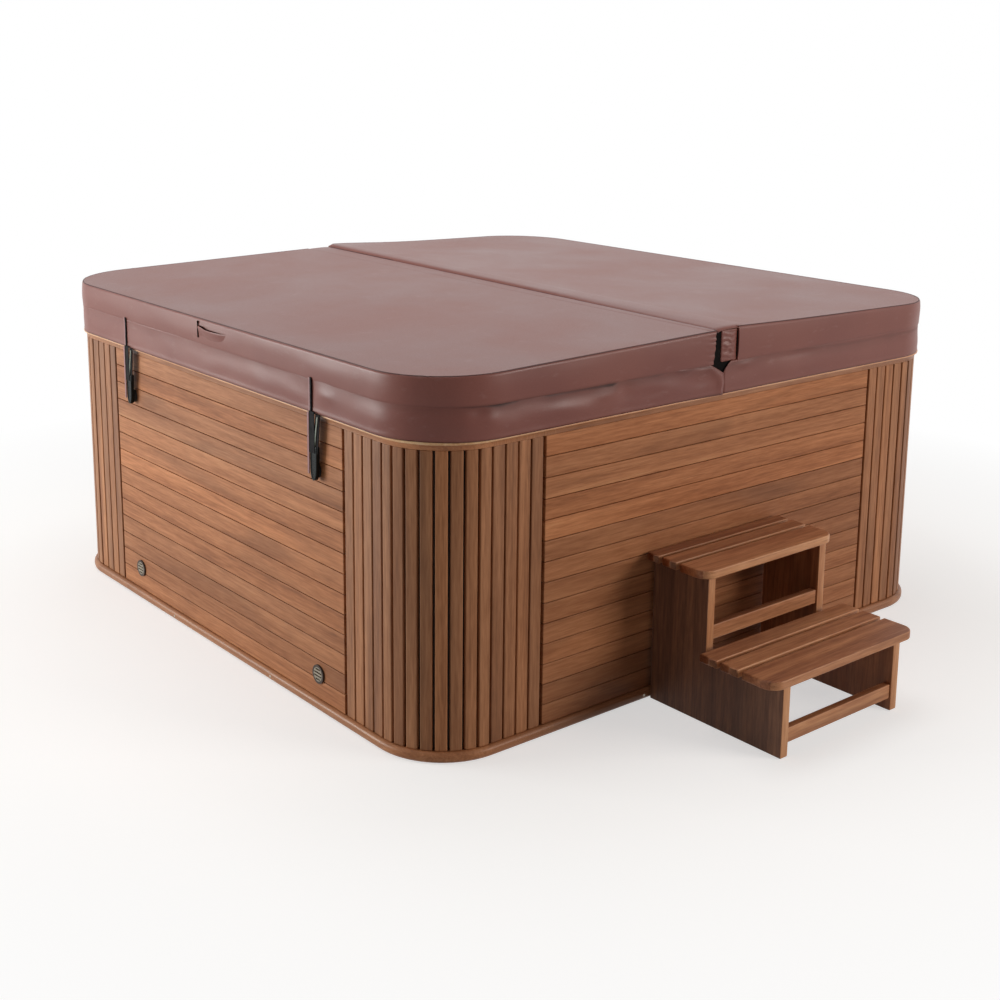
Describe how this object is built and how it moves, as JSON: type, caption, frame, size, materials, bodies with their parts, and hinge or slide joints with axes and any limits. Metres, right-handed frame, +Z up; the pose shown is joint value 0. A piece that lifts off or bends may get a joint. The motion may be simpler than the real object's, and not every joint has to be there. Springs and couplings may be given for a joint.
{
  "type": "hot tub",
  "caption": "Square hot tub with rounded slatted timber cabinet, folding padded vinyl cover with skirt, straps and handles, and timber steps in front.",
  "frame": {"origin": "on the floor under the middle of the cabinet", "axes": "+Z up, -Y towards the steps, cover hinge along Y, -X towards the side with the vents"},
  "size_m": [2.1546, 2.605, 1.038],
  "materials": {
    "slat_wood": "satin",
    "trim_wood": "satin",
    "frame_wood": "matte",
    "step_wood": "satin",
    "pan_plastic": "matte",
    "screw_steel": "satin",
    "black_plastic": "satin",
    "grey_plastic": "satin",
    "acrylic": "gloss",
    "jet_chrome": "polished",
    "filter_fleece": "matte",
    "motor_paint": "satin",
    "pipe_plastic": "satin",
    "cover_vinyl": "satin",
    "cover_foam": "matte",
    "channel_metal": "satin"
  },
  "bodies": {
    "tub": {"front_slats": "slat_wood", "back_slats": "slat_wood", "left_slats": "slat_wood", "right_slats": "slat_wood", "corner_slats_front_left": "slat_wood", "corner_slats_front_right": "slat_wood", "corner_slats_back_right": "slat_wood", "corner_slats_back_left": "slat_wood", "bottom_trim": "trim_wood", "top_trim": "trim_wood", "frame_timbers": "frame_wood", "panel_battens": "frame_wood", "corner_backings": "frame_wood", "base_pan": "pan_plastic", "trim_screws": "screw_steel", "side_vents": "black_plastic", "buckle_bases": "black_plastic", "control_panel": "black_plastic", "control_box": "black_plastic", "pump_wet_end": "black_plastic", "filter_housing": "grey_plastic", "suction_covers": "grey_plastic", "shell": "acrylic", "seat_jets": "jet_chrome", "foot_jets": "jet_chrome", "heater": "jet_chrome", "filter_cartridge": "filter_fleece", "pump_motor": "motor_paint", "pipework": "pipe_plastic"},
    "cover_right": {"cover_right_foam": "cover_foam", "cover_right_jacket": "cover_vinyl", "cover_right_skirt": "cover_vinyl", "cover_right_channel": "channel_metal", "cover_right_handle": "cover_vinyl", "hinge_seal": "cover_vinyl"},
    "cover_left": {"cover_left_foam": "cover_foam", "cover_left_jacket": "cover_vinyl", "cover_left_skirt": "cover_vinyl", "cover_left_channel": "channel_metal", "cover_left_handle": "cover_vinyl"},
    "strap_left_front": {"strap_left_front": "cover_vinyl", "tongue_left_front": "black_plastic"},
    "strap_left_back": {"strap_left_back": "cover_vinyl", "tongue_left_back": "black_plastic"},
    "strap_right_front": {"strap_right_front": "cover_vinyl", "tongue_right_front": "black_plastic"},
    "strap_right_back": {"strap_right_back": "cover_vinyl", "tongue_right_back": "black_plastic"},
    "steps": {"step_left_side": "step_wood", "step_right_side": "step_wood", "step_upper_tread": "step_wood", "step_lower_tread": "step_wood", "step_rails": "step_wood", "step_dowels": "frame_wood"},
    "filter_lid": {"filter_lid": "black_plastic"},
    "diverter_knob": {"diverter_knob": "black_plastic"},
    "air_knob": {"air_knob": "black_plastic"},
    "button_jets": {"button_jets": "grey_plastic"},
    "button_light": {"button_light": "grey_plastic"},
    "button_heat": {"button_heat": "grey_plastic"}
  },
  "joints": [
    {"name": "cover_lift", "type": "slide", "parent": "tub", "child": "cover_right", "axis": [0, 0, 1], "range_m": [0, 0.35]},
    {"name": "cover_fold", "type": "hinge", "parent": "cover_right", "child": "cover_left", "pos_m": [0, 0, 1.038], "axis": [0, 1, 0], "range_deg": [0, 176]},
    {"name": "strap_swing_left_front", "type": "hinge", "parent": "cover_left", "child": "strap_left_front", "pos_m": [-1.0619, -0.545, 0.945], "axis": [0, 1, 0], "range_deg": [0, 90]},
    {"name": "strap_swing_left_back", "type": "hinge", "parent": "cover_left", "child": "strap_left_back", "pos_m": [-1.0619, 0.545, 0.945], "axis": [0, 1, 0], "range_deg": [0, 90]},
    {"name": "strap_swing_right_front", "type": "hinge", "parent": "cover_right", "child": "strap_right_front", "pos_m": [1.0619, -0.545, 0.945], "axis": [0, -1, 0], "range_deg": [0, 90]},
    {"name": "strap_swing_right_back", "type": "hinge", "parent": "cover_right", "child": "strap_right_back", "pos_m": [1.0619, 0.545, 0.945], "axis": [0, -1, 0], "range_deg": [0, 90]},
    {"name": "steps_pull", "type": "slide", "parent": "tub", "child": "steps", "axis": [0, -1, 0], "range_m": [0, 0.3]},
    {"name": "lid_twist", "type": "hinge", "parent": "tub", "child": "filter_lid", "pos_m": [-0.841, 0.841, 0.905], "axis": [0, 0, 1], "range_deg": [0, 90]},
    {"name": "diverter_turn", "type": "hinge", "parent": "tub", "child": "diverter_knob", "pos_m": [0.26, -0.8925, 0.905], "axis": [0, 0, 1], "range_deg": [-90, 90]},
    {"name": "air_turn", "type": "hinge", "parent": "tub", "child": "air_knob", "pos_m": [-0.26, -0.8925, 0.905], "axis": [0, 0, 1], "range_deg": [0, 120]},
    {"name": "press_jets", "type": "slide", "parent": "tub", "child": "button_jets", "axis": [0, 0, -1], "range_m": [0, 0.0015], "stiffness_N_per_m": 400},
    {"name": "press_light", "type": "slide", "parent": "tub", "child": "button_light", "axis": [0, 0, -1], "range_m": [0, 0.0015], "stiffness_N_per_m": 400},
    {"name": "press_heat", "type": "slide", "parent": "tub", "child": "button_heat", "axis": [0, 0, -1], "range_m": [0, 0.0015], "stiffness_N_per_m": 400}
  ]
}
